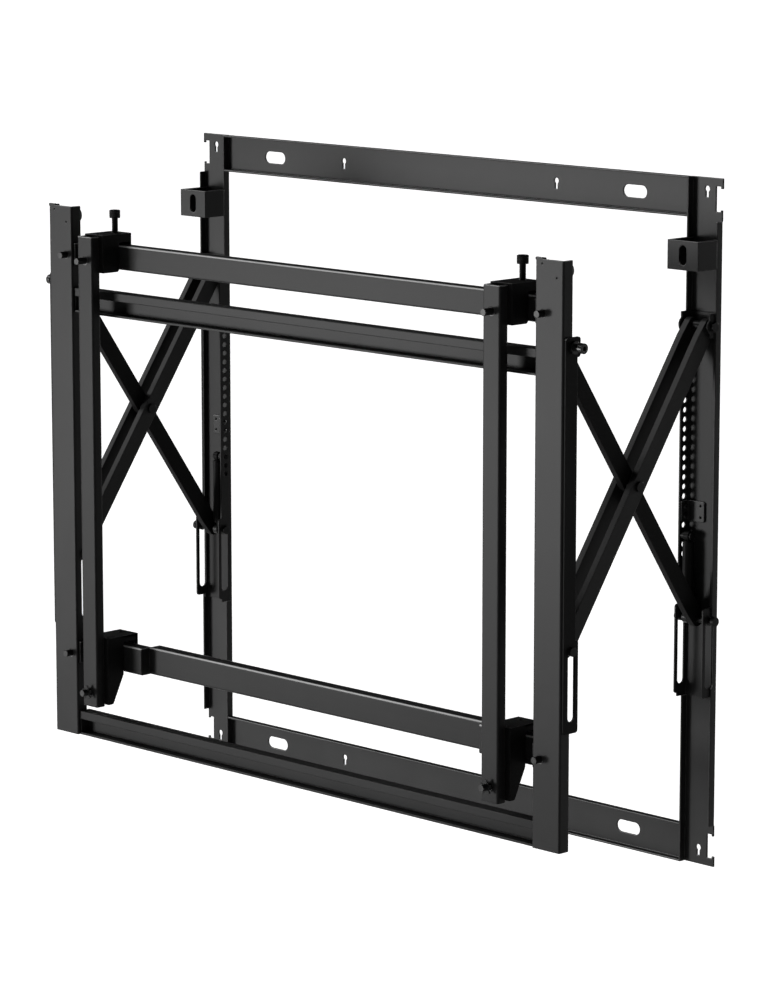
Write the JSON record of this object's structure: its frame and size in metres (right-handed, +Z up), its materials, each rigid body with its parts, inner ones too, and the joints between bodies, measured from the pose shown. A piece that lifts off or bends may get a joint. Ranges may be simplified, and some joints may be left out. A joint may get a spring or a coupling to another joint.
{
  "type": "pop-out tv wall mount",
  "caption": "Wall frame with scissor arms that carry a front frame, whose two hanging rails hold a large screen and can be raised, lowered and shifted.",
  "frame": {"origin": "centre of the four slots that bolt the wall frame to the wall, on the wall's surface", "axes": "+Z up, +Y into the wall, -Y out into the room, +X to the right of somebody who faces the screen"},
  "size_m": [0.6676, 0.2213, 0.596],
  "materials": {
    "black_coat": "fine textured black powder coat",
    "dark_steel": "matt black coat",
    "zinc_steel": "dark zinc plated steel",
    "roller_nylon": "black nylon",
    "buffer_rubber": "matt"
  },
  "bodies": {
    "wall_frame": {"wall_post_left": "black_coat", "wall_post_right": "black_coat", "wall_rail_top": "black_coat", "wall_rail_bottom": "black_coat", "spacer_box_left": "black_coat", "spacer_box_right": "black_coat", "wall_bracket_left": "dark_steel", "wall_bracket_right": "dark_steel", "strut_anchor_left": "black_coat", "strut_anchor_right": "black_coat", "wall_pivot_pins": "zinc_steel", "strut_studs": "zinc_steel", "strut_body_left": "dark_steel", "strut_body_right": "dark_steel"},
    "outer_arms_left": {"arm_outer_left": "black_coat", "arm_inner_left": "black_coat", "cross_pin_left": "zinc_steel", "front_slide_pin_left": "zinc_steel", "arm_spacers_left": "zinc_steel", "front_rollers_left": "roller_nylon"},
    "middle_arm_left": {"arm_middle_left": "black_coat"},
    "slider_left": {"wall_slide_pin_left": "zinc_steel", "strut_rod_left": "zinc_steel", "wall_rollers_left": "roller_nylon"},
    "outer_arms_right": {"arm_outer_right": "black_coat", "arm_inner_right": "black_coat", "cross_pin_right": "zinc_steel", "front_slide_pin_right": "zinc_steel", "arm_spacers_right": "zinc_steel", "front_rollers_right": "roller_nylon"},
    "middle_arm_right": {"arm_middle_right": "black_coat"},
    "slider_right": {"wall_slide_pin_right": "zinc_steel", "strut_rod_right": "zinc_steel", "wall_rollers_right": "roller_nylon"},
    "front_frame": {"front_post_left": "black_coat", "front_post_right": "black_coat", "cross_rail_top": "black_coat", "cross_rail_bottom": "black_coat", "front_bracket_left": "dark_steel", "front_bracket_right": "dark_steel", "front_pivot_pins": "zinc_steel", "post_studs": "zinc_steel", "bumpers": "buffer_rubber", "display_bar_upper": "black_coat", "display_bar_lower": "black_coat"},
    "pad_left": {"screw_pad_left": "zinc_steel"},
    "screw_left": {"height_screw_left": "dark_steel"},
    "hanging_rail_left": {"display_rail_left": "black_coat", "upper_hook_left": "black_coat", "lower_hook_left": "black_coat", "rail_studs_left": "zinc_steel", "star_washer_left": "dark_steel"},
    "pad_right": {"screw_pad_right": "zinc_steel"},
    "screw_right": {"height_screw_right": "dark_steel"},
    "hanging_rail_right": {"display_rail_right": "black_coat", "upper_hook_right": "black_coat", "lower_hook_right": "black_coat", "rail_studs_right": "zinc_steel", "star_washer_right": "dark_steel"}
  },
  "joints": [
    {"name": "pop_out", "type": "hinge", "parent": "wall_frame", "child": "outer_arms_left", "pos_m": [-0.314, -0.01, 0.173], "axis": [1, 0, 0], "range_deg": [0, 29.94], "stiffness_Nm_per_rad": 6, "springref_deg": -17.19},
    {"name": "cross_left", "type": "hinge", "parent": "outer_arms_left", "child": "middle_arm_left", "pos_m": [-0.305, -0.09778, 0.04665], "axis": [1, 0, 0], "range_deg": [-59.88, 0]},
    {"name": "front_pivot_left", "type": "hinge", "parent": "middle_arm_left", "child": "front_frame", "pos_m": [-0.305, -0.18556, 0.173], "axis": [1, 0, 0], "range_deg": [0, 29.94]},
    {"name": "slide_pin_left", "type": "hinge", "parent": "middle_arm_left", "child": "slider_left", "pos_m": [-0.305, -0.01, -0.0797], "axis": [1, 0, 0], "range_deg": [0, 29.94]},
    {"name": "wall_pivot_right", "type": "hinge", "parent": "wall_frame", "child": "outer_arms_right", "pos_m": [0.314, -0.01, 0.173], "axis": [1, 0, 0], "range_deg": [0, 29.94]},
    {"name": "cross_right", "type": "hinge", "parent": "outer_arms_right", "child": "middle_arm_right", "pos_m": [0.305, -0.09778, 0.04665], "axis": [1, 0, 0], "range_deg": [-59.88, 0]},
    {"name": "slide_pin_right", "type": "hinge", "parent": "middle_arm_right", "child": "slider_right", "pos_m": [0.305, -0.01, -0.0797], "axis": [1, 0, 0], "range_deg": [0, 29.94]},
    {"name": "side_shift_left", "type": "slide", "parent": "front_frame", "child": "pad_left", "axis": [1, 0, 0], "range_m": [-0.015, 0.015]},
    {"name": "height_screw_left", "type": "hinge", "parent": "pad_left", "child": "screw_left", "pos_m": [-0.25125, -0.1769, 0.23], "axis": [0, 0, 1], "range_deg": [-2160, 720]},
    {"name": "height_left", "type": "slide", "parent": "pad_left", "child": "hanging_rail_left", "axis": [0, 0, 1], "range_m": [-0.002, 0.006]},
    {"name": "side_shift_right", "type": "slide", "parent": "front_frame", "child": "pad_right", "axis": [1, 0, 0], "range_m": [-0.015, 0.015]},
    {"name": "height_screw_right", "type": "hinge", "parent": "pad_right", "child": "screw_right", "pos_m": [0.25675, -0.1769, 0.23], "axis": [0, 0, 1], "range_deg": [-2160, 720]},
    {"name": "height_right", "type": "slide", "parent": "pad_right", "child": "hanging_rail_right", "axis": [0, 0, 1], "range_m": [-0.002, 0.006]}
  ],
  "couplings": [
    {"joint": "cross_left", "follows": "pop_out", "ratio": -2},
    {"joint": "front_pivot_left", "follows": "pop_out", "ratio": 1},
    {"joint": "slide_pin_left", "follows": "pop_out", "ratio": 1},
    {"joint": "wall_pivot_right", "follows": "pop_out", "ratio": 1},
    {"joint": "cross_right", "follows": "pop_out", "ratio": -2},
    {"joint": "slide_pin_right", "follows": "pop_out", "ratio": 1},
    {"joint": "height_screw_left", "follows": "height_left", "rad_per_m": -6283.2},
    {"joint": "height_screw_right", "follows": "height_right", "rad_per_m": -6283.2}
  ]
}
